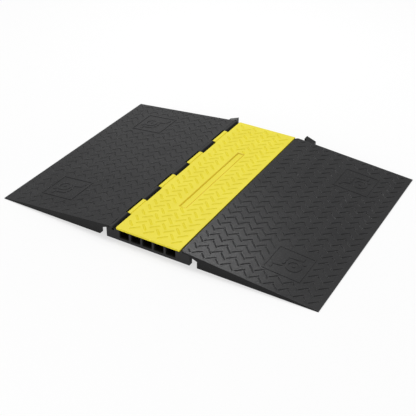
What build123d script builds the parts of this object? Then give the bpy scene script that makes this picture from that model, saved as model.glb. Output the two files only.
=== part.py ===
"""Low-profile cable protector: a five-channel centre unit with a hinged lid and two lift-off ramps.

Frame: +X across the protector, in the direction of traffic, +Y along the cable channels, +Z up.
The origin is on the ground at the middle of the centre unit. Everything is in millimetres.
"""
import os
from math import atan2, cos, sin, sqrt

from build123d import *

# ---- overall size ----
LENGTH = 914.4                      # end face to end face, along the channels
OVERALL_WIDTH = 1270.0              # toe to toe
HEIGHT = 47.6                       # ground to the lid's face, the hinge knuckles and the ramps' inner edges
TOE_HEIGHT = 3.0
BODY_GAP = 0.5                      # between the centre unit and a ramp, all round

# ---- centre unit ----
BASE_HALF_WIDTH = 168.0
BASE_TOP = 41.0
CHANNEL_COUNT = 5
CHANNEL_WIDTH = 39.5
CHANNEL_PITCH = 47.0
CHANNEL_FLOOR = 11.0
CHANNEL_FILLET = 5.0

# ---- the sloping roof that a ramp's top plate makes over the centre unit's shoulder ----
ROOF_X = 174.8                      # a point on the roof line ...
ROOF_Z = 35.0
ROOF_SLOPE = 0.38                   # ... and how steeply it falls, going outwards
ROOF_FLAT_Z = BASE_TOP + BODY_GAP   # the level stretch nearest the lid

# ---- hinge ----
HINGE_SECTIONS = 9                  # five knuckles on the base, four tabs on the lid, in turn
HINGE_PITCH = LENGTH / HINGE_SECTIONS
HINGE_X = -140.5
HINGE_Z = 39.0
KNUCKLE_OUTER_X = -155.5
KNUCKLE_FLAT_X = -150.5             # the knuckle's top is level up to here, then rolls down towards the lid
KNUCKLE_INNER_X = -134.0
KNUCKLE_ROOT_Z = 30.0
KNUCKLE_ROLL_RADIUS = 21.0
TAB_BARREL_RADIUS = 7.8
TAB_TOP = 47.3
TAB_OUTER_X = -151.0
TAB_INNER_X = -133.5
TAB_ROUND = 4.0
TAB_WEB_TOP = 44.9                  # a shallow crease between a tab and the lid's face
TAB_SIDE_GAP = 0.8
TAB_POCKET_RADIUS = 12.5            # swept clear by a tab as the lid turns
ROD_RADIUS = 4.0
ROD_CHAMFER = 0.6
BASE_BORE_RADIUS = 4.03
LID_BORE_RADIUS = 4.06
PLUG_RADIUS = 5.0
PLUG_LENGTH = 8.0
PLUG_SETBACK = 7.0
PLUG_BORE_GAP = 0.02
PLUG_SLOT_SIZE = (7.0, 1.6)         # for a screwdriver, to pull the plug out by
PLUG_SLOT_DEPTH = 2.0
ROD_END_GAP = 0.2

# ---- lid ----
LID_LEFT_X = -130.0
LID_RIGHT_X = 129.5
LID_BOTTOM = 41.2
LID_END_GAP = 1.2
LID_LEFT_CORNER = 6.0
LID_RIGHT_CORNER = 3.0
LID_EDGE_ROUND = 1.5
LID_FIELD_LEFT_X = -115.0           # the tread field: a shallow recess that the grooved skin fills
LID_FIELD_RIGHT_X = 116.0
LID_FIELD_LENGTH = 884.0
LID_TREAD_DEPTH = 1.8
LID_PANEL_CENTRE = (2.0, -3.0)      # a long narrow panel, sunk a little deeper than the tread
LID_PANEL_SIZE = (22.0, 442.0)
LID_PANEL_DEPTH = 2.6

# ---- ramps ----
RIGHT_PLATE_EDGE = 133.0            # the top plate's inner edge: beside the lid's free edge ...
LEFT_PLATE_EDGE = 156.0             # ... or outside the hinge
RAMP_WALL_X = BASE_HALF_WIDTH + BODY_GAP
RIGHT_PLATE_CORNER = 14.0           # the inner corners in plan
LEFT_PLATE_CORNER = 3.0
RIGHT_EDGE_ROUND = 2.5              # the top plate's upper edges
LEFT_EDGE_ROUND = 1.0
RAMP_FIELD_MARGIN = 12.0            # smooth border between a ramp's inner edge and its tread field
RAMP_FIELD_OUTER_X = 621.0
RAMP_FIELD_LENGTH = 892.0
RAMP_TREAD_DEPTH = 2.5
PLAQUE_X = 460.0                    # two smooth plaques on each ramp, left standing in the field ...
PLAQUE_Y = 299.0
PLAQUE_SIZE = (146.0, 148.0)
PLAQUE_FRAME = (139.0, 140.0)       # ... each with a thin raised frame
PLAQUE_FRAME_WIDTH = 5.0
PLAQUE_FRAME_HEIGHT = 1.4
PLAQUE_FRAME_ROUND = 0.7

# ---- T-shaped end connectors: a tab at the far end, a socket at the near end ----
SOCKET_NECK_OUTER_X = 197.0
SOCKET_POCKET_INNER_X = 154.0
SOCKET_POCKET_OUTER_X = 214.0
SOCKET_LIP = 18.0                   # from the end face to the pocket
SOCKET_POCKET_DEPTH = 30.0
TAB_NECK_X = (169.0, 195.0)
TAB_HEAD_X = (160.0, 202.0)
TAB_NECK_LENGTH = 23.0
TAB_HEAD_LENGTH = 26.0
TAB_ROOF_GAP = 1.5
TAB_HEAD_ROUND = 2.5

# ---- T-shaped upright keys that hold a ramp to the centre unit ----
KEY_POSITIONS = [-2 * HINGE_PITCH, 0.0, 2 * HINGE_PITCH]
KEY_NECK_X = 163.5
KEY_HEAD_X = 157.0
KEY_NECK_WIDTH = 20.0
KEY_HEAD_WIDTH = 36.0

HALF_LENGTH = LENGTH / 2
TOE_X = OVERALL_WIDTH / 2
SOCKET_BACK_Y = -HALF_LENGTH + SOCKET_LIP
TAB_CENTRES = [-3 * HINGE_PITCH, -HINGE_PITCH, HINGE_PITCH, 3 * HINGE_PITCH]
KNUCKLE_CENTRES = [-4 * HINGE_PITCH, -2 * HINGE_PITCH, 0.0, 2 * HINGE_PITCH, 4 * HINGE_PITCH]
CHANNEL_CENTRES = [(i - (CHANNEL_COUNT - 1) / 2) * CHANNEL_PITCH for i in range(CHANNEL_COUNT)]


def roof_z(x):
    """Height of the sloping roof at a distance x from the middle."""
    return ROOF_Z - ROOF_SLOPE * (x - ROOF_X)


ROOF_BREAK_X = ROOF_X - (ROOF_FLAT_Z - ROOF_Z) / ROOF_SLOPE   # where the level stretch ends


def cross_plane(y):
    """An upright plane across the protector at y, facing +Y; its own x axis points to -X."""
    return Plane(origin=(0, y, 0), x_dir=(-1, 0, 0), z_dir=(0, 1, 0))


def cross_point(x, z):
    """A point of the frame's XZ plane, in a cross plane's own coordinates."""
    return (-x, z)


# ---- centre unit ----
with BuildPart() as centre_base:
    shoulder_drop = ROOF_FLAT_Z - roof_z(BASE_HALF_WIDTH)
    with BuildSketch(cross_plane(-HALF_LENGTH)):
        with BuildLine():
            Polyline(
                (-BASE_HALF_WIDTH, 0),
                (BASE_HALF_WIDTH, 0),
                (BASE_HALF_WIDTH, BASE_TOP - shoulder_drop),
                (ROOF_BREAK_X, BASE_TOP),
                (-ROOF_BREAK_X, BASE_TOP),
                (-BASE_HALF_WIDTH, BASE_TOP - shoulder_drop),
                close=True,
            )
        make_face()
    extrude(amount=LENGTH)
    # knuckles standing up to the lid's level, with a top that rolls down into the groove beside the lid
    roll_run = KNUCKLE_INNER_X - KNUCKLE_FLAT_X
    roll_drop = KNUCKLE_ROLL_RADIUS - sqrt(KNUCKLE_ROLL_RADIUS**2 - roll_run**2)
    for y in KNUCKLE_CENTRES:
        with BuildSketch(cross_plane(y - HINGE_PITCH / 2)):
            with BuildLine():
                roll_start = cross_point(KNUCKLE_FLAT_X, HEIGHT)
                roll_end = cross_point(KNUCKLE_INNER_X, HEIGHT - roll_drop)
                TangentArc(roll_start, roll_end, tangent=cross_point(1, 0))
                Polyline(
                    roll_end,
                    cross_point(KNUCKLE_INNER_X, KNUCKLE_ROOT_Z),
                    cross_point(KNUCKLE_OUTER_X, KNUCKLE_ROOT_Z),
                    cross_point(KNUCKLE_OUTER_X, HEIGHT),
                    roll_start,
                )
            make_face()
        extrude(amount=HINGE_PITCH)
    # pockets that the lid's tabs turn in
    for y in TAB_CENTRES:
        with BuildSketch(cross_plane(y - HINGE_PITCH / 2)):
            with Locations(cross_point(HINGE_X, HINGE_Z)):
                Circle(TAB_POCKET_RADIUS)
        extrude(amount=HINGE_PITCH, mode=Mode.SUBTRACT)
    # cable channels, open at the top
    for x in CHANNEL_CENTRES:
        with BuildSketch(cross_plane(-HALF_LENGTH)) as channel_section:
            with Locations(cross_point(x, (CHANNEL_FLOOR + HEIGHT) / 2)):
                Rectangle(CHANNEL_WIDTH, HEIGHT - CHANNEL_FLOOR)
            fillet(channel_section.vertices().group_by(Axis.Z)[0], radius=CHANNEL_FILLET)
        extrude(amount=LENGTH, mode=Mode.SUBTRACT)
    # bore for the hinge rod, wider at both ends for the plugs
    with BuildSketch(cross_plane(-HALF_LENGTH)):
        with Locations(cross_point(HINGE_X, HINGE_Z)):
            Circle(BASE_BORE_RADIUS)
    extrude(amount=LENGTH, mode=Mode.SUBTRACT)
    plug_bore_depth = PLUG_SETBACK + PLUG_LENGTH
    for y in (-HALF_LENGTH, HALF_LENGTH - plug_bore_depth):
        with BuildSketch(cross_plane(y)):
            with Locations(cross_point(HINGE_X, HINGE_Z)):
                Circle(PLUG_RADIUS + PLUG_BORE_GAP)
        extrude(amount=plug_bore_depth, mode=Mode.SUBTRACT)
    # upright slots in both side walls: three for each ramp's keys, one half of each end socket
    with BuildSketch(Plane.XY):
        for side in (-1, 1):
            for y in KEY_POSITIONS:
                head_inner = KEY_HEAD_X - BODY_GAP
                head_outer = KEY_NECK_X + BODY_GAP
                with Locations((side * (head_inner + head_outer) / 2, y)):
                    Rectangle(head_outer - head_inner, KEY_HEAD_WIDTH + 2 * BODY_GAP)
                with Locations((side * (head_inner + BASE_HALF_WIDTH) / 2, y)):
                    Rectangle(BASE_HALF_WIDTH - head_inner, KEY_NECK_WIDTH + 2 * BODY_GAP)
            with Locations((side * (SOCKET_POCKET_INNER_X + BASE_HALF_WIDTH) / 2,
                            SOCKET_BACK_Y + SOCKET_POCKET_DEPTH / 2)):
                Rectangle(BASE_HALF_WIDTH - SOCKET_POCKET_INNER_X, SOCKET_POCKET_DEPTH)
    extrude(amount=HEIGHT, mode=Mode.SUBTRACT)
centre_base.part.label = "centre_base"

# ---- lid ----
with BuildPart() as lid:
    lid_length = LENGTH - 2 * LID_END_GAP
    with BuildSketch(Plane.XY.offset(LID_BOTTOM)) as lid_outline:
        with Locations(((LID_LEFT_X + LID_RIGHT_X) / 2, 0)):
            Rectangle(LID_RIGHT_X - LID_LEFT_X, lid_length)
        fillet(lid_outline.vertices().group_by(Axis.X)[0], radius=LID_LEFT_CORNER)
        fillet(lid_outline.vertices().group_by(Axis.X)[-1], radius=LID_RIGHT_CORNER)
    extrude(amount=HEIGHT - LID_BOTTOM)
    fillet(lid.faces().sort_by(Axis.Z)[-1].edges(), radius=LID_EDGE_ROUND)
    # hinge tabs: a barrel round the rod under a squared-up block, joined to the lid by a thinner web
    tab_length = HINGE_PITCH - 2 * TAB_SIDE_GAP
    for y in TAB_CENTRES:
        with BuildSketch(cross_plane(y - tab_length / 2)) as tab_section:
            with Locations(cross_point((TAB_OUTER_X + TAB_INNER_X) / 2, (HINGE_Z + TAB_TOP) / 2)):
                Rectangle(TAB_INNER_X - TAB_OUTER_X, TAB_TOP - HINGE_Z)
            fillet(tab_section.vertices().group_by(Axis.Z)[-1], radius=TAB_ROUND)
            with Locations(cross_point(HINGE_X, HINGE_Z)):
                Circle(TAB_BARREL_RADIUS)
            web_end_x = LID_LEFT_X + LID_EDGE_ROUND
            with Locations(cross_point((HINGE_X + web_end_x) / 2, (LID_BOTTOM + TAB_WEB_TOP) / 2)):
                Rectangle(web_end_x - HINGE_X, TAB_WEB_TOP - LID_BOTTOM)
        extrude(amount=tab_length)
    with BuildSketch(cross_plane(-HALF_LENGTH)):
        with Locations(cross_point(HINGE_X, HINGE_Z)):
            Circle(LID_BORE_RADIUS)
    extrude(amount=LENGTH, mode=Mode.SUBTRACT)
    # sunk tread field, and the panel in the middle of it
    with BuildSketch(Plane.XY.offset(HEIGHT)):
        with Locations(((LID_FIELD_LEFT_X + LID_FIELD_RIGHT_X) / 2, 0)):
            Rectangle(LID_FIELD_RIGHT_X - LID_FIELD_LEFT_X, LID_FIELD_LENGTH)
    extrude(amount=-LID_TREAD_DEPTH, mode=Mode.SUBTRACT)
    with BuildSketch(Plane.XY.offset(HEIGHT)):
        with Locations(LID_PANEL_CENTRE):
            Rectangle(*LID_PANEL_SIZE)
    extrude(amount=-LID_PANEL_DEPTH, mode=Mode.SUBTRACT)
lid.part.label = "lid"

# ---- hinge rod and the two plugs that keep it in ----
rod_length = LENGTH - 2 * (PLUG_SETBACK + PLUG_LENGTH + ROD_END_GAP)
with BuildPart() as hinge_rod:
    with BuildSketch(cross_plane(-rod_length / 2)):
        with Locations(cross_point(HINGE_X, HINGE_Z)):
            Circle(ROD_RADIUS)
    extrude(amount=rod_length)
    chamfer(hinge_rod.edges().filter_by(GeomType.CIRCLE), length=ROD_CHAMFER)
hinge_rod.part.label = "hinge_rod"


def make_plug(outer_y, inward):
    """A push-in plug whose outer face is at outer_y, with a slot in that face."""
    face = Plane(origin=(HINGE_X, outer_y, HINGE_Z), x_dir=(1, 0, 0), z_dir=(0, inward, 0))
    with BuildPart() as plug:
        with BuildSketch(face):
            Circle(PLUG_RADIUS)
        extrude(amount=PLUG_LENGTH)
        with BuildSketch(face):
            Rectangle(*PLUG_SLOT_SIZE)
        extrude(amount=PLUG_SLOT_DEPTH, mode=Mode.SUBTRACT)
    return plug.part


rod_plug_near = make_plug(-HALF_LENGTH + PLUG_SETBACK, 1)
rod_plug_near.label = "rod_plug_near"
rod_plug_far = make_plug(HALF_LENGTH - PLUG_SETBACK, -1)
rod_plug_far.label = "rod_plug_far"


def make_ramp(side, plate_edge, plate_corner, edge_round):
    """A ramp on the +X (side 1) or -X (side -1) side, whose top plate starts at plate_edge."""
    slope = atan2(HEIGHT - TOE_HEIGHT, TOE_X - plate_edge)
    top_plane = Plane(
        origin=(side * plate_edge, 0, HEIGHT),
        x_dir=(side * cos(slope), 0, -sin(slope)),
        z_dir=(side * sin(slope), 0, cos(slope)),
    )

    with BuildPart() as ramp:
        with BuildSketch(cross_plane(-HALF_LENGTH)):
            with BuildLine():
                outline = [
                    (plate_edge, HEIGHT),
                    (TOE_X, TOE_HEIGHT),
                    (TOE_X, 0),
                    (RAMP_WALL_X, 0),
                    (RAMP_WALL_X, roof_z(RAMP_WALL_X)),
                    (ROOF_BREAK_X, ROOF_FLAT_Z),
                    (plate_edge, ROOF_FLAT_Z),
                ]
                Polyline(*[cross_point(side * x, z) for x, z in outline], close=True)
            make_face()
        extrude(amount=LENGTH)
        # round the top plate's two inner corners in plan
        corners = ramp.edges().filter_by(Axis.Z).group_by(Axis.X)
        fillet(corners[0] if side > 0 else corners[-1], radius=plate_corner)
        # soften the top edges, apart from the toe
        top_edges = ramp.faces().sort_by(Axis.Z)[-1].edges()
        toe_edge = top_edges.sort_by(Axis.Z)[0]
        fillet([edge for edge in top_edges if edge != toe_edge], radius=edge_round)

        # sunk tread field with the two plaques left standing in it
        field_start = RAMP_FIELD_MARGIN / cos(slope)
        field_end = (RAMP_FIELD_OUTER_X - plate_edge) / cos(slope)
        plaque_centres = [((PLAQUE_X - plate_edge) / cos(slope), y) for y in (-PLAQUE_Y, PLAQUE_Y)]
        with BuildSketch(top_plane):
            with Locations(((field_start + field_end) / 2, 0)):
                Rectangle(field_end - field_start, RAMP_FIELD_LENGTH)
            with Locations(*plaque_centres):
                Rectangle(*PLAQUE_SIZE, mode=Mode.SUBTRACT)
        extrude(amount=-RAMP_TREAD_DEPTH, mode=Mode.SUBTRACT)
        # the plaques' raised frames
        frame_hole = [size - 2 * PLAQUE_FRAME_WIDTH for size in PLAQUE_FRAME]
        with BuildSketch(top_plane):
            with Locations(*plaque_centres):
                Rectangle(*PLAQUE_FRAME)
                Rectangle(*frame_hole, mode=Mode.SUBTRACT)
        extrude(amount=PLAQUE_FRAME_HEIGHT)
        frame_tops = ramp.faces().group_by(Axis(top_plane.origin, top_plane.z_dir))[-1]
        fillet(frame_tops.edges(), radius=PLAQUE_FRAME_ROUND)

        # this ramp's half of the end socket: a neck, then a wider pocket, both under a sloping roof
        for outer_x, start_y, depth in (
            (SOCKET_NECK_OUTER_X, -HALF_LENGTH, SOCKET_LIP),
            (SOCKET_POCKET_OUTER_X, SOCKET_BACK_Y, SOCKET_POCKET_DEPTH),
        ):
            with BuildSketch(cross_plane(start_y)):
                with BuildLine():
                    opening = [
                        (RAMP_WALL_X, 0),
                        (outer_x, 0),
                        (outer_x, roof_z(outer_x)),
                        (RAMP_WALL_X, roof_z(RAMP_WALL_X)),
                    ]
                    Polyline(*[cross_point(side * x, z) for x, z in opening], close=True)
                make_face()
            extrude(amount=depth, mode=Mode.SUBTRACT)

        # upright keys on the inner wall
        with BuildSketch(Plane.XY):
            for y in KEY_POSITIONS:
                with Locations((side * (KEY_HEAD_X + KEY_NECK_X) / 2, y)):
                    Rectangle(KEY_NECK_X - KEY_HEAD_X, KEY_HEAD_WIDTH)
                with Locations((side * (KEY_HEAD_X + RAMP_WALL_X) / 2, y)):
                    Rectangle(RAMP_WALL_X - KEY_HEAD_X, KEY_NECK_WIDTH)
        extrude(amount=ROOF_FLAT_Z + BODY_GAP)

        # end connector tab: a neck, then a wider head, both with a sloping top
        head_start_y = HALF_LENGTH + TAB_NECK_LENGTH
        for (inner_x, outer_x), start_y, depth in (
            (TAB_NECK_X, HALF_LENGTH - BODY_GAP, TAB_NECK_LENGTH + BODY_GAP),
            (TAB_HEAD_X, head_start_y, TAB_HEAD_LENGTH),
        ):
            with BuildSketch(cross_plane(start_y)):
                with BuildLine():
                    section = [
                        (inner_x, 0),
                        (outer_x, 0),
                        (outer_x, roof_z(outer_x) - TAB_ROOF_GAP),
                        (inner_x, roof_z(inner_x) - TAB_ROOF_GAP),
                    ]
                    Polyline(*[cross_point(side * x, z) for x, z in section], close=True)
                make_face()
            extrude(amount=depth)
        head_corners = ramp.edges().filter_by(Axis.Z).group_by(Axis.Y)[-1]
        fillet(head_corners, radius=TAB_HEAD_ROUND)
    return ramp.part


left_ramp = make_ramp(-1, LEFT_PLATE_EDGE, LEFT_PLATE_CORNER, LEFT_EDGE_ROUND)
left_ramp.label = "left_ramp"
right_ramp = make_ramp(1, RIGHT_PLATE_EDGE, RIGHT_PLATE_CORNER, RIGHT_EDGE_ROUND)
right_ramp.label = "right_ramp"

os.makedirs("parts", exist_ok=True)
export_step(centre_base.part, "parts/centre_base.step")
export_step(lid.part, "parts/lid.step")
export_step(hinge_rod.part, "parts/hinge_rod.step")
export_step(rod_plug_near, "parts/rod_plug_near.step")
export_step(rod_plug_far, "parts/rod_plug_far.step")
export_step(left_ramp, "parts/left_ramp.step")
export_step(right_ramp, "parts/right_ramp.step")
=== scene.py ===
"""Looks of a low-profile cable protector: a lidded centre unit between two ramps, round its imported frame.

Metres, in the frame's own axes: +X across the protector, +Y along the channels, +Z up. Sizes of the object
are named in millimetres. The CAD nodes keep their shapes. What is added here is the treads' grooved skins,
the symbols in the plaques and every material, and then a pale floor, soft light and a camera.
"""
import math
from collections import namedtuple

import bmesh
import bpy
from mathutils import Matrix, Vector
from mathutils.geometry import delaunay_2d_cdt


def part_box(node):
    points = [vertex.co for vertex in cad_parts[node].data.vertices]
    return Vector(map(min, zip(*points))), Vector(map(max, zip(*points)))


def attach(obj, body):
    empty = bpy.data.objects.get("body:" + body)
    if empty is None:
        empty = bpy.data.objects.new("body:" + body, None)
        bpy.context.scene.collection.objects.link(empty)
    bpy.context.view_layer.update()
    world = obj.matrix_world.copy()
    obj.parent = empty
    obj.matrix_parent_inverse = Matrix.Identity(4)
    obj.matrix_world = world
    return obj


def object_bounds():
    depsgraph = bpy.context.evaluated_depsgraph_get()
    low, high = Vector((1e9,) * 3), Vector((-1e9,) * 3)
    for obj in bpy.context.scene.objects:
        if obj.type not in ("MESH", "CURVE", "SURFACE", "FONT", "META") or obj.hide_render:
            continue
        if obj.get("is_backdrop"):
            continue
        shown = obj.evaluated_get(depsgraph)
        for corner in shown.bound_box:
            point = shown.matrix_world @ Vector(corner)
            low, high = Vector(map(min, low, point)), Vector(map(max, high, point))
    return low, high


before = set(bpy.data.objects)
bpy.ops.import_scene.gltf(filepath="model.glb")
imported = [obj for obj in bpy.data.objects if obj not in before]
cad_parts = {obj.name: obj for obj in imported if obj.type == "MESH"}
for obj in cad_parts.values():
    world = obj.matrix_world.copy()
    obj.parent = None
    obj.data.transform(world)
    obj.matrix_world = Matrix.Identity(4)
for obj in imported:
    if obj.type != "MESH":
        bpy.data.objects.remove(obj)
cad_low, cad_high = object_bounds()

MM = 0.001

# ---- what the CAD model fixes, in millimetres ----
HEIGHT = cad_high.z / MM                # the lid's face and the ramps' inner edges
TOE_X = cad_high.x / MM
TOE_HEIGHT = 3.0
BASE_LENGTH = 914.4
CHANNELS_HALF_WIDTH = 113.7             # the outer walls of the outermost channels
CHANNEL_FLOOR = 11.0
HINGE_STRIP = (-146.0, -129.0)          # the groove between the knuckles and the lid
RAMP_FIELD_MARGIN = 12.0                # the tread fields are shallow recesses, which the skins fill
RAMP_FIELD_OUTER_X = 621.0
RAMP_FIELD_HALF_LENGTH = 446.0
PLAQUE_X = 460.0
PLAQUE_Y = 299.0
PLAQUE_SIZE = (146.0, 148.0)
LID_FIELD = (-115.0, -442.0, 116.0, 442.0)
LID_PANEL = (-9.0, -224.0, 13.0, 218.0)

# ---- the treads: short grooves, "/" and "\" in turn, all at 45 degrees ----
Tread = namedtuple("Tread", "thickness stroke_width stroke_length groove_depth lip pitch second_stroke")
RAMP_TREAD = Tread(
    thickness=2.5,                      # the depth of the recess that the skin fills
    stroke_width=5.0,
    stroke_length=39.0,
    groove_depth=1.6,
    lip=0.6,                            # rounding of a groove's rim
    pitch=(53.3, 39.6),
    second_stroke=(28.0, -9.5),         # from the middle of a "/" to the middle of the "\" beside it
)
LID_TREAD = Tread(
    thickness=1.8,
    stroke_width=7.6,
    stroke_length=39.0,
    groove_depth=1.0,
    lip=1.1,
    pitch=(56.5, 39.5),
    second_stroke=(27.0, -21.0),
)
RIGHT_FIRST_STROKE = (181.5, -427.5)    # the middle of one "/" on each surface
LEFT_FIRST_STROKE = (-154.2, 0.1)
LID_FIRST_STROKE = (-14.9, -422.6)
SHORTEST_STROKE = 13.0                  # what is left of a stroke is dropped if it is shorter than this
STROKE_CLEARANCE = 1.0                  # between a groove's rim and the edge of its field
GROOVE_BOTTOM_SHARE = 0.3               # how much of a groove's width its bottom takes
GROOVE_FOOT_SHARE = 0.07                # how far the wall's foot stands out from the bottom, by the width
GROOVE_FOOT_DEPTH = 0.86                # how deep the wall's foot lies, by the depth
GROOVE_LIP_DROP = 0.6                   # how far a rim drops, by its rounding
LID_PANEL_SLOPE = 5.0                   # width of the sloping wall round the lid's panel
PANEL_WALL_DROP = 0.95                  # how far that wall goes down, by the skin's thickness
FIT_GAP = 0.02                          # between a skin and the walls of its recess
SKIN_SINK = 0.3                         # how far a piece's underside goes into the surface that it stands on
GROOVE_SLOT, WALL_SLOT = 1, 2           # the material slots of a skin's grooves and of its sloping walls

# ---- the symbol in each plaque: an empty wheelchair, drawn as separate raised strokes ----
SYMBOL_HEIGHT = 1.4
SYMBOL_SHOULDER = 0.9
SYMBOL_STROKE = 10.0
WHEEL_CENTRE = (-6.0, -18.0)
WHEEL_RADII = (29.0, 19.0)
HUB_RADIUS = 6.0
CASTER_CENTRE = (22.0, -45.0)
CASTER_RADIUS = 7.0
SYMBOL_BARS = (
    ((-27.0, 45.0), (-21.0, 20.0)),     # backrest
    ((-46.0, 49.0), (-39.0, 49.0)),     # push handle
    ((-8.0, 18.0), (20.0, 18.0)),       # seat
    ((32.0, 12.0), (36.0, -20.0)),      # leg rest
    ((38.0, -33.0), (49.0, -33.0)),     # foot plate
)

# ---- facets of the round shapes ----
LIP_STEPS = 2                           # over a groove's lip
SHOULDER_STEPS = 3                      # over a symbol's shoulder
END_STEPS = 5                           # round a stroke's end
CIRCLE_STEPS = 56
FLOOR_RIM_STEPS = 12


# ---------------------------------------------------------------- outlines and places

def ramp_place(side, inner_edge):
    """A ramp's sloping top: x runs down the slope from its inner edge, y along the frame's Y, z out of it."""
    slope = math.atan2(HEIGHT - TOE_HEIGHT, TOE_X - inner_edge)
    down = Vector((side * math.cos(slope), 0, -math.sin(slope)))
    out = Vector((side * math.sin(slope), 0, math.cos(slope)))
    place = Matrix((down, Vector((0, 1, 0)), out)).transposed().to_4x4()
    place.translation = Vector((side * inner_edge, 0, HEIGHT))
    return place, slope


def quarter(steps):
    """Angles from 0 to 90 degrees."""
    return [math.pi / 2 * step / steps for step in range(steps + 1)]


def point_on_circle(centre, radius, angle):
    return centre[0] + radius * math.cos(angle), centre[1] + radius * math.sin(angle)


def circle_outline(centre, radius):
    turns = [2 * math.pi * step / CIRCLE_STEPS for step in range(CIRCLE_STEPS)]
    return [point_on_circle(centre, radius, turn) for turn in turns]


def stroke_outline(start, end, half_width):
    """The outline of a stroke with round ends."""
    heading = math.atan2(end[1] - start[1], end[0] - start[0])
    return [point_on_circle(centre, half_width, heading + turn + math.pi * step / END_STEPS)
            for centre, turn in ((end, -math.pi / 2), (start, math.pi / 2))
            for step in range(END_STEPS + 1)]


def grown_box(box, by):
    x0, y0, x1, y1 = box
    return x0 - by, y0 - by, x1 + by, y1 + by


def box_outline(box):
    x0, y0, x1, y1 = box
    return [(x0, y0), (x1, y0), (x1, y1), (x0, y1)]


def span_inside(start, end, box):
    """The stretch of a straight line that lies inside a box, as two shares of its length, or None."""
    first, last = 0.0, 1.0
    for axis in (0, 1):
        run = end[axis] - start[axis]
        ends = sorted(((box[axis] - start[axis]) / run, (box[axis + 2] - start[axis]) / run))
        first = max(first, ends[0])
        last = min(last, ends[1])
    return (first, last) if first < last else None


def cut_back(start, end, field, keep_out):
    """A stroke's centre line cut back to its field and clear of the smooth areas, or None if too short."""
    span = span_inside(start, end, field)
    for box in keep_out:
        inside = span_inside(start, end, box)
        if span and inside:
            before = (span[0], min(span[1], inside[0]))
            after = (max(span[0], inside[1]), span[1])
            span = max(before, after, key=lambda stretch: stretch[1] - stretch[0])
    run = Vector(end) - Vector(start)
    if not span or (span[1] - span[0]) * run.length < SHORTEST_STROKE:
        return None
    return [tuple(Vector(start) + run * share) for share in span]


def pitches_across(low, high, first, pitch):
    """The whole numbers of pitches, counted from the first stroke, that reach past both ends of a stretch."""
    return range(math.floor((low - first) / pitch) - 1, math.ceil((high - first) / pitch) + 2)


def tread_strokes(tread, field, keep_out, first_stroke, side=1):
    """Centre lines of a tread's strokes; side is -1 where the place's x runs against the frame's X."""
    clear = tread.stroke_width / 2 + tread.lip + STROKE_CLEARANCE
    inner = grown_box(field, -clear)
    grown = [grown_box(box, clear) for box in keep_out]
    half = (tread.stroke_length - tread.stroke_width) / 2 * math.sqrt(0.5)
    second_offset = (side * tread.second_stroke[0], tread.second_stroke[1])
    strokes = []
    for column in pitches_across(field[0], field[2], first_stroke[0], tread.pitch[0]):
        for row in pitches_across(field[1], field[3], first_stroke[1], tread.pitch[1]):
            for rise, offset in ((side, (0, 0)), (-side, second_offset)):
                x = first_stroke[0] + column * tread.pitch[0] + offset[0]
                y = first_stroke[1] + row * tread.pitch[1] + offset[1]
                kept = cut_back((x - half, y - half * rise), (x + half, y + half * rise), inner, grown)
                if kept:
                    strokes.append(kept)
    return strokes


# ---------------------------------------------------------------- meshes

def link_new(name, data):
    thing = bpy.data.objects.new(name, data)
    bpy.context.scene.collection.objects.link(thing)
    return thing


def add_mesh(name, place, vertices, faces, sharp_edges=(), face_slots=None):
    """A closed mesh, from points in a place's own millimetres; face_slots gives faces a further material."""
    mesh = bpy.data.meshes.new(name)
    mesh.from_pydata([(place @ Vector(vertex)) * MM for vertex in vertices], [], faces)
    for face, slot in (face_slots or {}).items():
        mesh.polygons[face].material_index = slot
    work = bmesh.new()
    work.from_mesh(mesh)
    bmesh.ops.recalc_face_normals(work, faces=work.faces)
    work.verts.ensure_lookup_table()
    for first, second in sharp_edges:
        work.edges.get((work.verts[first], work.verts[second])).smooth = False
    for face in work.faces:
        face.smooth = True
    work.to_mesh(mesh)
    work.free()
    return link_new(name, mesh)


def loop_edges(first, count):
    """The edges of a closed loop of points that are numbered in turn."""
    return [(first + i, first + (i + 1) % count) for i in range(count)]


def add_rings(vertices, faces, rings):
    """Adds rings of points and the walls between them, and gives each ring's first vertex."""
    count = len(rings[0][0])
    starts = [len(vertices) + ring * count for ring in range(len(rings))]
    for outline, z in rings:
        vertices.extend((x, y, z) for x, y in outline)
    for near, far in zip(starts, starts[1:]):
        for i, j in loop_edges(0, count):
            faces.append((near + i, near + j, far + j, far + i))
    return starts


class FlatFace:
    """A flat face with openings: its first loop is its rim, and it is filled once all loops are known."""

    def __init__(self):
        self.points = []
        self.edges = []
        self.vertices = []              # each point's vertex in the mesh
        self.loops = []                 # the first vertex of each point's loop

    def add_loop(self, outline, first_vertex):
        count = len(outline)
        self.edges.extend(loop_edges(len(self.points), count))
        self.points.extend(Vector(point) for point in outline)
        self.vertices.extend(range(first_vertex, first_vertex + count))
        self.loops.extend([first_vertex] * count)

    def triangles(self):
        """Triangles that join different loops, or lie along the rim; the others are inside an opening."""
        within_loops, tolerance = 1, 1e-5
        _, _, found, sources, _, _ = delaunay_2d_cdt(self.points, self.edges, [], within_loops, tolerance)
        kept = []
        for triangle in found:
            corners = [sources[corner][0] for corner in triangle]
            loops_met = {self.loops[corner] for corner in corners}
            if len(loops_met) > 1 or self.loops[0] in loops_met:
                kept.append([self.vertices[corner] for corner in corners])
        return kept


def groove_rings(start, end, tread):
    """A groove's rings, from its rim down: a rounded lip, a sloping wall and a narrow rounded bottom."""
    width, lip, depth = tread.stroke_width, tread.lip, tread.groove_depth
    bottom = width * GROOVE_BOTTOM_SHARE / 2
    rings = [(width / 2 + lip * (1 - math.sin(angle)), -lip * GROOVE_LIP_DROP * (1 - math.cos(angle)))
             for angle in quarter(LIP_STEPS)]
    rings.append((bottom + width * GROOVE_FOOT_SHARE, -depth * GROOVE_FOOT_DEPTH))
    rings.append((bottom, -depth))
    return [(stroke_outline(start, end, half_width), z) for half_width, z in rings]


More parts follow.
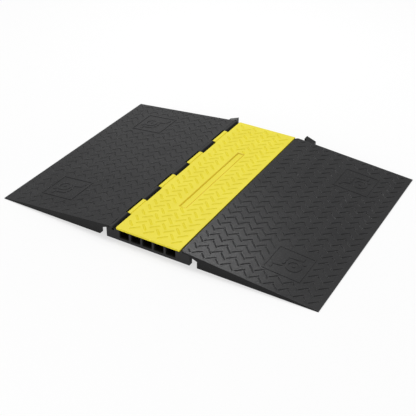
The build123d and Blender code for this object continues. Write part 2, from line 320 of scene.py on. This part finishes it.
def opening_rings(area, wall_slope, thickness, underside):
    """The rings of an opening round a smooth area, from the top down, with a sloping wall if it has one."""
    edge = box_outline(grown_box(area, FIT_GAP))
    if not wall_slope:
        return [(edge, 0.0), (edge, underside)]
    rim = box_outline(grown_box(area, wall_slope))
    return [(rim, 0.0), (edge, -thickness * PANEL_WALL_DROP), (edge, underside)]


def tread_skin(name, place, tread, field, smooth_areas, strokes):
    """A tread's skin: a plate with a groove for each stroke and an opening round each smooth area."""
    underside = -tread.thickness - SKIN_SINK
    vertices = []
    faces = []
    sharp_edges = []
    face_slots = {}
    top = FlatFace()
    under = FlatFace()

    def add_walls(rings, goes_through):
        starts = add_rings(vertices, faces, rings)
        count = len(rings[0][0])
        top.add_loop(rings[0][0], starts[0])
        sharp_edges.extend(loop_edges(starts[0], count))
        if goes_through:
            under.add_loop(rings[-1][0], starts[-1])
            sharp_edges.extend(loop_edges(starts[-1], count))
        else:
            faces.append([starts[-1] + i for i in range(count)])

    rim = box_outline(grown_box(field, -FIT_GAP))
    add_walls([(rim, 0.0), (rim, underside)], goes_through=True)
    for area, wall_slope in smooth_areas:
        first_face = len(faces)
        add_walls(opening_rings(area, wall_slope, tread.thickness, underside), goes_through=True)
        if wall_slope:
            face_slots.update((face, WALL_SLOT) for face in range(first_face, len(faces)))
    for start, end in strokes:
        rings = groove_rings(start, end, tread)
        below_lip = len(faces) + len(rings[0][0])
        add_walls(rings, goes_through=False)
        face_slots.update((face, GROOVE_SLOT) for face in range(below_lip, len(faces)))
    faces.extend(top.triangles())
    faces.extend(under.triangles())
    return add_mesh(name, place, vertices, faces, sharp_edges, face_slots)


def raised_shape(vertices, faces, sharp_edges, outline_at, hole_at=None):
    """A raised shape with a rounded shoulder; outline_at and hole_at give an outline inset by a distance."""
    levels = [(0.0, -SKIN_SINK)]
    for angle in quarter(SHOULDER_STEPS):
        inset = SYMBOL_SHOULDER * (1 - math.cos(angle))
        drop = SYMBOL_SHOULDER * (1 - math.sin(angle))
        levels.append((inset, SYMBOL_HEIGHT - drop))
    walls = [add_rings(vertices, faces, [(at(inset), z) for inset, z in levels])
             for at in (outline_at, hole_at) if at]
    count = len(outline_at(0.0))
    for level in (0, -1):
        outer = walls[0][level]
        if hole_at:
            inner = walls[1][level]
            faces.extend((outer + i, outer + j, inner + j, inner + i) for i, j in loop_edges(0, count))
        else:
            faces.append([outer + i for i in range(count)])
        for starts in walls:
            sharp_edges.extend(loop_edges(starts[level], count))


def wheelchair_symbol(name, place):
    """The symbol, in a place whose x runs to its right and y to its top."""
    vertices = []
    faces = []
    sharp_edges = []
    outer, inner = WHEEL_RADII
    raised_shape(vertices, faces, sharp_edges, lambda inset: circle_outline(WHEEL_CENTRE, outer - inset),
                 lambda inset: circle_outline(WHEEL_CENTRE, inner + inset))
    for centre, radius in ((WHEEL_CENTRE, HUB_RADIUS), (CASTER_CENTRE, CASTER_RADIUS)):
        raised_shape(vertices, faces, sharp_edges, lambda inset: circle_outline(centre, radius - inset))
    for start, end in SYMBOL_BARS:
        raised_shape(vertices, faces, sharp_edges,
                     lambda inset: stroke_outline(start, end, SYMBOL_STROKE / 2 - inset))
    return add_mesh(name, place, vertices, faces, sharp_edges)


# ---------------------------------------------------------------- material helpers

class Look:
    """A new material, with short ways to add the nodes that its finish is made of."""

    def __init__(self, name):
        self.material = bpy.data.materials.new(name)
        self.material.use_nodes = True
        self.nodes = self.material.node_tree.nodes
        self.links = self.material.node_tree.links
        self.shader = self.nodes["Principled BSDF"]
        coordinates = self.nodes.new("ShaderNodeTexCoord")
        self.position = coordinates.outputs["Object"]
        self.facing = coordinates.outputs["Normal"]

    def add(self, kind, inputs):
        """Adds a node; each of its inputs gets a constant, or a link from another node's output."""
        node = self.nodes.new("ShaderNode" + kind)
        for key, value in inputs.items():
            if isinstance(value, bpy.types.NodeSocket):
                self.links.new(value, node.inputs[key])
            else:
                node.inputs[key].default_value = value
        return node

    def noise(self, scale, detail, roughness=0.55, vector=None):
        inputs = {"Vector": vector or self.position, "Scale": scale, "Detail": detail, "Roughness": roughness}
        return self.add("TexNoise", inputs).outputs["Fac"]

    def tone(self, value, low, high, dark, light):
        """A colour that goes from dark to light as a value goes from low to high."""
        node = self.add("ValToRGB", {"Fac": value})
        for element, position, colour in zip(node.color_ramp.elements, (low, high), (dark, light)):
            element.position = position
            element.color = (*colour, 1)
        return node.outputs["Color"]

    def scaled(self, value, low, high, from_low=0.0, from_high=1.0):
        """Maps from_low..from_high onto low..high, and keeps to those."""
        inputs = {"Value": value, "From Min": from_low, "From Max": from_high, "To Min": low, "To Max": high}
        return self.add("MapRange", inputs).outputs["Result"]

    def below(self, value, limit, fade):
        """1 where a value is below a limit, and 0 above it; the change is smooth and ends at the limit."""
        inputs = {"Value": value, "From Min": limit - fade, "From Max": limit, "To Min": 1.0, "To Max": 0.0}
        node = self.add("MapRange", inputs)
        node.interpolation_type = "SMOOTHSTEP"
        return node.outputs["Result"]

    def maths(self, operation, *values):
        node = self.add("Math", dict(enumerate(values)))
        node.operation = operation
        return node.outputs["Value"]

    def mixed(self, share, first, second, blend_type="MIX"):
        node = self.add("MixRGB", {"Fac": share, "Color1": first, "Color2": second})
        node.blend_type = blend_type
        return node.outputs["Color"]

    def finish(self, colour, roughness, *bumps):
        """Leads a colour and a roughness to the shader, and a chain of bumps: height, distance, strength."""
        self.links.new(colour, self.shader.inputs["Base Color"])
        self.links.new(roughness, self.shader.inputs["Roughness"])
        before = {}
        for height, distance, strength in bumps:
            node = self.add("Bump", {"Height": height, "Distance": distance, "Strength": strength, **before})
            before = {"Normal": node.outputs["Normal"]}
        self.links.new(before["Normal"], self.shader.inputs["Normal"])


RUBBER_SPECULAR = 0.12
RUBBER_SIDE_SHADE = 0.33                # how dark the upright faces are, against the ones that face up
YELLOW_SPECULAR = 0.20
# near-black painted shade for the channels and the hinge groove, where shade falls
PAINTED_SHADE = (0.006, 0.006, 0.006)
SHADE_FLOOR_FADE = 0.5                  # millimetres, as in all the places that the painted-shade function takes


def moulded_rubber(name, dark, light, roughness, side_shade=RUBBER_SIDE_SHADE):
    """Black rubber: fine moulded grain, faint mottling and scuffs, and painted shade on the faces that stand
    upright.
    """
    look = Look(name)
    mottle = look.noise(scale=9.0, detail=6.0, roughness=0.62)
    grain = look.noise(scale=700.0, detail=3.0)
    pores = look.noise(scale=160.0, detail=4.0)
    tone = look.tone(mottle, 0.3, 0.72, dark, light)
    # painted shade: faces that stand upright are darker than those that face up, by side_shade
    upward = look.add("SeparateXYZ", {"Vector": look.facing}).outputs["Z"]
    upright_shade = look.scaled(upward, side_shade, 1.0, from_low=0.35, from_high=0.97)
    look.finish(look.mixed(1.0, tone, upright_shade, "MULTIPLY"),
                look.scaled(pores, roughness - 0.06, roughness + 0.08),
                (grain, 0.12 * MM, 0.5), (pores, 0.4 * MM, 0.12))
    look.shader.inputs["Specular IOR Level"].default_value = RUBBER_SPECULAR
    return look


def paint_shade_inside(look, middle, half_width, half_length, floor_z, side_fade, end_fade):
    """Painted shade in a channel or groove along Y: near black inside its width and over its floor."""
    parts = look.add("SeparateXYZ", {"Vector": look.position}).outputs
    off_middle = look.maths("ABSOLUTE", look.maths("SUBTRACT", parts["X"], middle * MM))
    across = look.below(off_middle, half_width * MM, side_fade * MM)
    along = look.below(look.maths("ABSOLUTE", parts["Y"]), half_length * MM, end_fade * MM)
    under_floor = look.below(parts["Z"], floor_z * MM, SHADE_FLOOR_FADE * MM)
    share = look.maths("MULTIPLY", across, look.maths("SUBTRACT", along, under_floor))
    base_colour = look.shader.inputs["Base Color"]
    look.links.new(look.mixed(share, base_colour.links[0].from_socket, (*PAINTED_SHADE, 1)), base_colour)


def moulded_yellow(name, deep, light):
    """Yellow polyurethane: satin, very slightly uneven in tone."""
    look = Look(name)
    mottle = look.noise(scale=14.0, detail=5.0)
    grain = look.noise(scale=600.0, detail=2.0)
    look.finish(look.tone(mottle, 0.3, 0.7, deep, light),
                look.scaled(grain, 0.42, 0.52), (grain, 0.1 * MM, 0.35))
    look.shader.inputs["Specular IOR Level"].default_value = YELLOW_SPECULAR
    return look


def drawn_steel(name):
    """Bright steel rod, with fine lines along it from drawing."""
    look = Look(name)
    along_rod = look.add("Mapping", {"Vector": look.position, "Scale": (900.0, 12.0, 900.0)})
    lines = look.noise(scale=1.0, detail=3.0, vector=along_rod.outputs["Vector"])
    look.finish(look.tone(lines, 0.3, 0.7, (0.42, 0.42, 0.43), (0.6, 0.6, 0.61)),
                look.scaled(lines, 0.25, 0.42), (lines, 0.05 * MM, 0.3))
    look.shader.inputs["Metallic"].default_value = 1.0
    return look


def plug_plastic(name):
    """Black plastic with a fine matt grain."""
    look = Look(name)
    grain = look.noise(scale=1200.0, detail=2.0)
    look.finish(look.tone(grain, 0.3, 0.7, (0.02, 0.02, 0.021), (0.032, 0.032, 0.033)),
                look.scaled(grain, 0.4, 0.55), (grain, 0.04 * MM, 0.3))
    return look


def finish_with(piece, look, *further):
    """Gives a piece one look all over, or further ones for the faces in its next slots."""
    slots = piece.data.materials
    if len(slots) == 0:
        slots.append(look.material)
    for i in range(len(slots)):
        slots[i] = look.material
    for extra in further:
        slots.append(extra.material)


# ---------------------------------------------------------------- the looks, and the CAD nodes that wear them

base_rubber = moulded_rubber("centre_rubber", dark=(0.030, 0.030, 0.031), light=(0.038, 0.038, 0.039),
                             roughness=0.6, side_shade=0.9)
ramp_rubber = moulded_rubber("ramp_rubber", dark=(0.033, 0.033, 0.034), light=(0.042, 0.042, 0.043),
                             roughness=0.25)
# painted shade in the ramps' grooves: a slightly darker rubber on their walls and bottoms
groove_rubber = moulded_rubber("groove_rubber", dark=(0.029, 0.029, 0.030), light=(0.037, 0.037, 0.038),
                               roughness=0.36, side_shade=0.85)
yellow = moulded_yellow("lid_yellow", deep=(0.87, 0.745, 0.028), light=(0.91, 0.79, 0.042))
# painted shade: the lid's grooves are a deeper yellow, and the sloping wall round its panel is darker still
groove_yellow = moulded_yellow("groove_yellow", deep=(0.82, 0.69, 0.006), light=(0.86, 0.735, 0.012))
wall_yellow = moulded_yellow("wall_yellow", deep=(0.71, 0.50, 0.001), light=(0.75, 0.54, 0.002))

# painted shade reaches a little past the channels' and the groove's walls, and stops short of the end faces
shade_half_length = BASE_LENGTH / 2 - 0.5
strip_low_x, strip_high_x = HINGE_STRIP
paint_shade_inside(base_rubber, middle=0.0, half_width=CHANNELS_HALF_WIDTH + 1.0,
              half_length=shade_half_length, floor_z=CHANNEL_FLOOR - 1.0, side_fade=0.5, end_fade=12.0)
# the hinge strip's knuckles are painted near black, standing in for the shade between the ramp and the lid
paint_shade_inside(base_rubber, middle=(strip_low_x + strip_high_x) / 2,
              half_width=(strip_high_x - strip_low_x) / 2 + 1.5,
              half_length=shade_half_length, floor_z=CHANNEL_FLOOR, side_fade=4.0, end_fade=1.0)

plug_look = plug_plastic("plug_plastic")
for node_name, look in (
    ("centre_base", base_rubber),
    ("left_ramp", ramp_rubber),
    ("right_ramp", ramp_rubber),
    ("lid", yellow),
    ("hinge_rod", drawn_steel("rod_steel")),
    ("rod_plug_near", plug_look),
    ("rod_plug_far", plug_look),
):
    finish_with(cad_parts[node_name], look)

# ---------------------------------------------------------------- ramp treads and symbols

for ramp_name, side, first_stroke in (
    ("right_ramp", 1, RIGHT_FIRST_STROKE),
    ("left_ramp", -1, LEFT_FIRST_STROKE),
):
    low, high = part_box(ramp_name)
    inner_edge = (low.x if side > 0 else -high.x) / MM
    place, slope = ramp_place(side, inner_edge)
    field = (RAMP_FIELD_MARGIN / math.cos(slope), -RAMP_FIELD_HALF_LENGTH,
             (RAMP_FIELD_OUTER_X - inner_edge) / math.cos(slope), RAMP_FIELD_HALF_LENGTH)
    plaque_x = (PLAQUE_X - inner_edge) / math.cos(slope)
    half_x, half_y = PLAQUE_SIZE[0] / 2, PLAQUE_SIZE[1] / 2
    plaques = [(plaque_x - half_x, y - half_y, plaque_x + half_x, y + half_y)
               for y in (-PLAQUE_Y, PLAQUE_Y)]
    first = ((side * first_stroke[0] - inner_edge) / math.cos(slope), first_stroke[1])
    strokes = tread_strokes(RAMP_TREAD, field, plaques, first, side)
    flat_areas = [(plaque, 0.0) for plaque in plaques]
    skin = tread_skin(ramp_name + "_tread", place, RAMP_TREAD, field, flat_areas, strokes)
    finish_with(skin, ramp_rubber, groove_rubber)
    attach(skin, ramp_name)
    to_right = Vector((0, side, 0))
    to_top = Vector((-1, 0, 0))         # a symbol's top is up the slope
    turn = Matrix((to_right, to_top, Vector((0, 0, 1)))).transposed().to_4x4()
    for end, y in (("near", -PLAQUE_Y), ("far", PLAQUE_Y)):
        symbol_place = place @ Matrix.Translation((plaque_x, y, 0)) @ turn
        symbol = wheelchair_symbol(ramp_name + "_symbol_" + end, symbol_place)
        finish_with(symbol, ramp_rubber)
        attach(symbol, ramp_name)

# ---------------------------------------------------------------- lid tread

lid_place = Matrix.Translation((0, 0, HEIGHT))
panel_rim = grown_box(LID_PANEL, LID_PANEL_SLOPE)
lid_strokes = tread_strokes(LID_TREAD, LID_FIELD, [panel_rim], LID_FIRST_STROKE)
lid_skin = tread_skin("lid_tread", lid_place, LID_TREAD, LID_FIELD, [(LID_PANEL, LID_PANEL_SLOPE)],
                      lid_strokes)
finish_with(lid_skin, yellow, groove_yellow, wall_yellow)
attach(lid_skin, "lid")

# ---------------------------------------------------------------- floor

FLOOR_RADIUS = 26.0                     # of the floor's flat part
FLOOR_RIM = 7.0                         # past that it curves up all round, so that no horizon shows
FLOOR_GREY = 0.4
FLOOR_GLOW = 0.62                       # the floor's own light, which keeps it near white

floor_look = Look("pale_floor")
for socket, value in (
    ("Base Color", (FLOOR_GREY, FLOOR_GREY, FLOOR_GREY, 1)),
    ("Emission Color", (1, 1, 1, 1)),
    ("Emission Strength", FLOOR_GLOW),
    ("Roughness", 0.9),
    ("Specular IOR Level", 0.0),
):
    floor_look.shader.inputs[socket].default_value = value
floor_points = []
floor_faces = []
floor_rings = add_rings(floor_points, floor_faces, [
    (circle_outline((0, 0), FLOOR_RADIUS + FLOOR_RIM * math.sin(angle)), FLOOR_RIM * (1 - math.cos(angle)))
    for angle in reversed(quarter(FLOOR_RIM_STEPS))])
floor_faces.append([floor_rings[-1] + i for i in range(CIRCLE_STEPS)])
floor_mesh = bpy.data.meshes.new("floor")
floor_mesh.from_pydata(floor_points, [], floor_faces)
floor_mesh.shade_smooth()
floor_mesh.polygons[-1].use_smooth = False
floor_piece = link_new("floor", floor_mesh)
finish_with(floor_piece, floor_look)
floor_piece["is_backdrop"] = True

# ---------------------------------------------------------------- light

WORLD_STRENGTH = 0.32
SUN_ENERGY = 1.8
SUN_ANGLE = math.radians(25)
SUN_PLACE = Vector((-0.9, 1.05, 2.15))
NEAR_CORNER = Vector((0.17, -0.54, 0.045))      # by the right ramp's corner, which mirrors the back light
CORNER_MIRROR = Vector((-0.27, 0.71, 0.65))     # about the way that the camera's view is mirrored there
BACK_DISTANCE = 3.2
LEFT_MIDDLE = Vector((-0.3, 0.2, 0.03))         # the same for the left ramp
LEFT_MIRROR = Vector((-0.547, 0.74, 0.388))
LEFT_DISTANCE = 3.0
NEAR_END = Vector((0, -0.4, 0.03))
FRONT_PLACE = Vector((0.5, -3.2, 0.8))

world = bpy.data.worlds.new("studio")
bpy.context.scene.world = world
world.use_nodes = True
background = world.node_tree.nodes["Background"]
background.inputs["Color"].default_value = (1, 1, 1, 1)
background.inputs["Strength"].default_value = WORLD_STRENGTH


def aim(thing, place, target):
    thing.location = place
    thing.rotation_euler = (target - place).to_track_quat("-Z", "Y").to_euler()


sun = bpy.data.lights.new("overhead", "SUN")
sun.energy = SUN_ENERGY
sun.angle = SUN_ANGLE
aim(link_new("overhead", sun), SUN_PLACE, Vector())

for name, place, target, size, power in (
    ("back_softbox", NEAR_CORNER + CORNER_MIRROR * BACK_DISTANCE, NEAR_CORNER, (0.75, 0.20), 8),
    ("front_softbox", FRONT_PLACE, NEAR_END, (2.4, 0.8), 9),
    ("left_softbox", LEFT_MIDDLE + LEFT_MIRROR * LEFT_DISTANCE, LEFT_MIDDLE, (1.2, 0.8), 0.6),
):
    softbox = bpy.data.lights.new(name, "AREA")
    softbox.shape = "RECTANGLE"
    softbox.size, softbox.size_y = size
    softbox.energy = power
    aim(link_new(name, softbox), place, target)

# ---------------------------------------------------------------- camera

AZIMUTH = math.radians(29.45)
ELEVATION = math.radians(33.50)
ROLL = math.radians(0.78)
TARGET = Vector((0.048, -0.1233, 0.0))
DISTANCE = 3.082
SENSOR_WIDTH = 36.0
LENS = 72.44

camera = bpy.data.cameras.new("camera")
camera.sensor_width = SENSOR_WIDTH
camera.lens = LENS
camera_object = link_new("camera", camera)
back = Vector((math.sin(AZIMUTH) * math.cos(ELEVATION), -math.cos(AZIMUTH) * math.cos(ELEVATION),
               math.sin(ELEVATION)))
level = Vector((0, 0, 1)).cross(back).normalized()
upright = back.cross(level)
right = level * math.cos(ROLL) + upright * math.sin(ROLL)
up = upright * math.cos(ROLL) - level * math.sin(ROLL)
turned = Matrix((right, up, back)).transposed().to_4x4()
camera_object.matrix_world = Matrix.Translation(TARGET + back * DISTANCE) @ turned
bpy.context.scene.camera = camera_object
bpy.context.scene.view_settings.view_transform = "Standard"

# ---------------------------------------------------------------- sizes, and the end

low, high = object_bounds()
